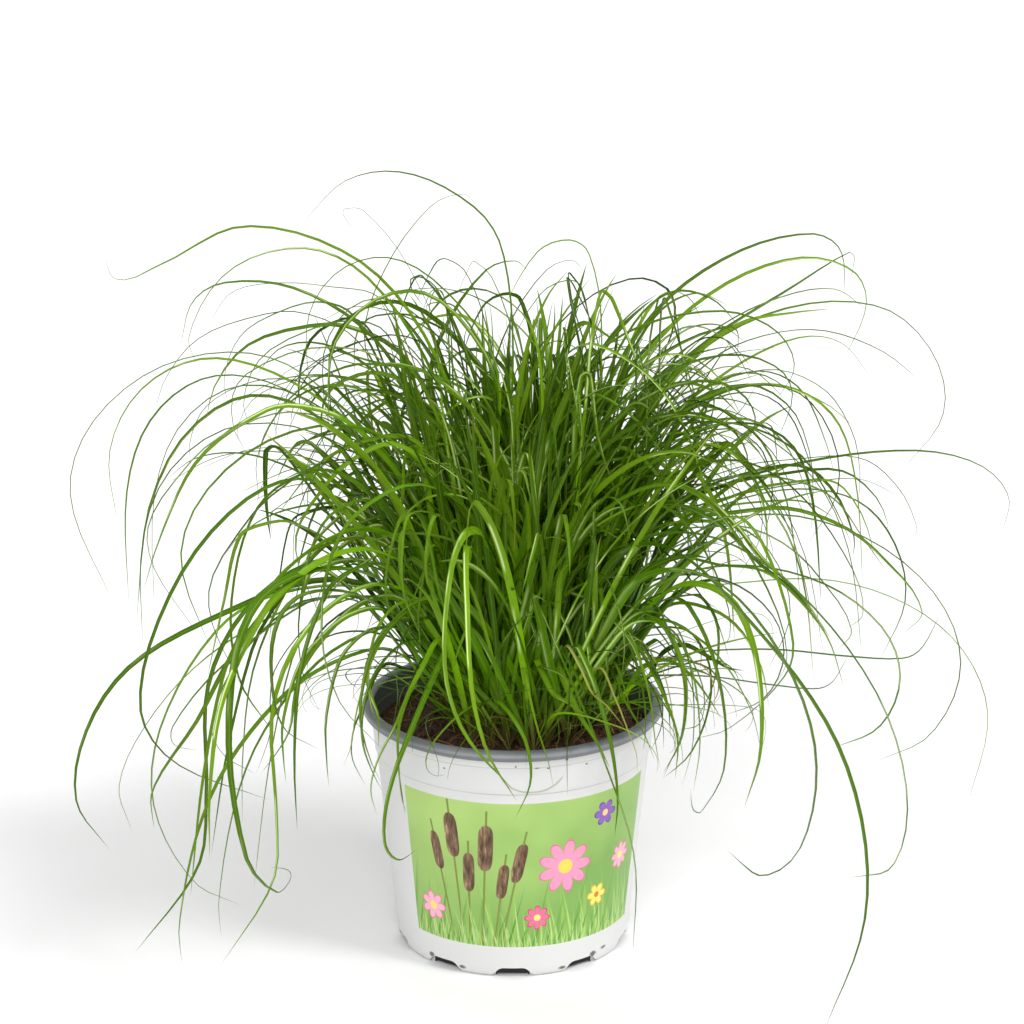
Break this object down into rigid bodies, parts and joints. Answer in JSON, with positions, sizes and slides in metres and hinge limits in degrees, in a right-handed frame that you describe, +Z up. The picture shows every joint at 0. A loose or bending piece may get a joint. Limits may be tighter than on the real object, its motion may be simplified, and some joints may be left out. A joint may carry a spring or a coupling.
{
  "type": "potted grassy sedge",
  "caption": "Dense tuft of narrow arching sedge blades in a white plastic nursery pot with a printed green label.",
  "frame": {"origin": "centre of the pot's underside, on the surface that it stands on", "axes": "+Z up along the pot's axis, -Y towards the viewer of the label, +X to the viewer's right"},
  "size_m": [0.3613, 0.2916, 0.298],
  "materials": {
    "white_plastic": "satin",
    "peat": "rough, damp peat and fibre",
    "sedge_green": "semi-gloss leaf"
  },
  "bodies": {
    "root": {"pot": "white_plastic", "potting_soil": "peat", "shoot_01": "sedge_green", "shoot_02": "sedge_green", "shoot_03": "sedge_green", "shoot_04": "sedge_green", "shoot_05": "sedge_green", "shoot_06": "sedge_green", "shoot_07": "sedge_green", "shoot_08": "sedge_green", "shoot_09": "sedge_green", "shoot_10": "sedge_green", "shoot_11": "sedge_green", "shoot_12": "sedge_green", "shoot_13": "sedge_green", "shoot_14": "sedge_green", "shoot_15": "sedge_green", "shoot_16": "sedge_green", "shoot_17": "sedge_green", "shoot_18": "sedge_green", "shoot_19": "sedge_green", "shoot_20": "sedge_green", "shoot_21": "sedge_green", "shoot_22": "sedge_green", "shoot_23": "sedge_green", "shoot_24": "sedge_green", "shoot_25": "sedge_green", "shoot_26": "sedge_green", "shoot_27": "sedge_green", "shoot_28": "sedge_green", "shoot_29": "sedge_green", "shoot_30": "sedge_green", "shoot_31": "sedge_green", "shoot_32": "sedge_green", "shoot_33": "sedge_green", "shoot_34": "sedge_green", "shoot_35": "sedge_green", "shoot_36": "sedge_green", "shoot_37": "sedge_green", "shoot_38": "sedge_green", "shoot_39": "sedge_green", "shoot_40": "sedge_green", "shoot_41": "sedge_green", "shoot_42": "sedge_green", "shoot_43": "sedge_green", "shoot_44": "sedge_green", "shoot_45": "sedge_green", "shoot_46": "sedge_green", "shoot_47": "sedge_green", "shoot_48": "sedge_green", "shoot_49": "sedge_green", "shoot_50": "sedge_green", "shoot_51": "sedge_green", "shoot_52": "sedge_green", "shoot_53": "sedge_green", "shoot_54": "sedge_green", "shoot_55": "sedge_green", "shoot_56": "sedge_green", "shoot_57": "sedge_green", "shoot_58": "sedge_green"}
  },
  "joints": []
}
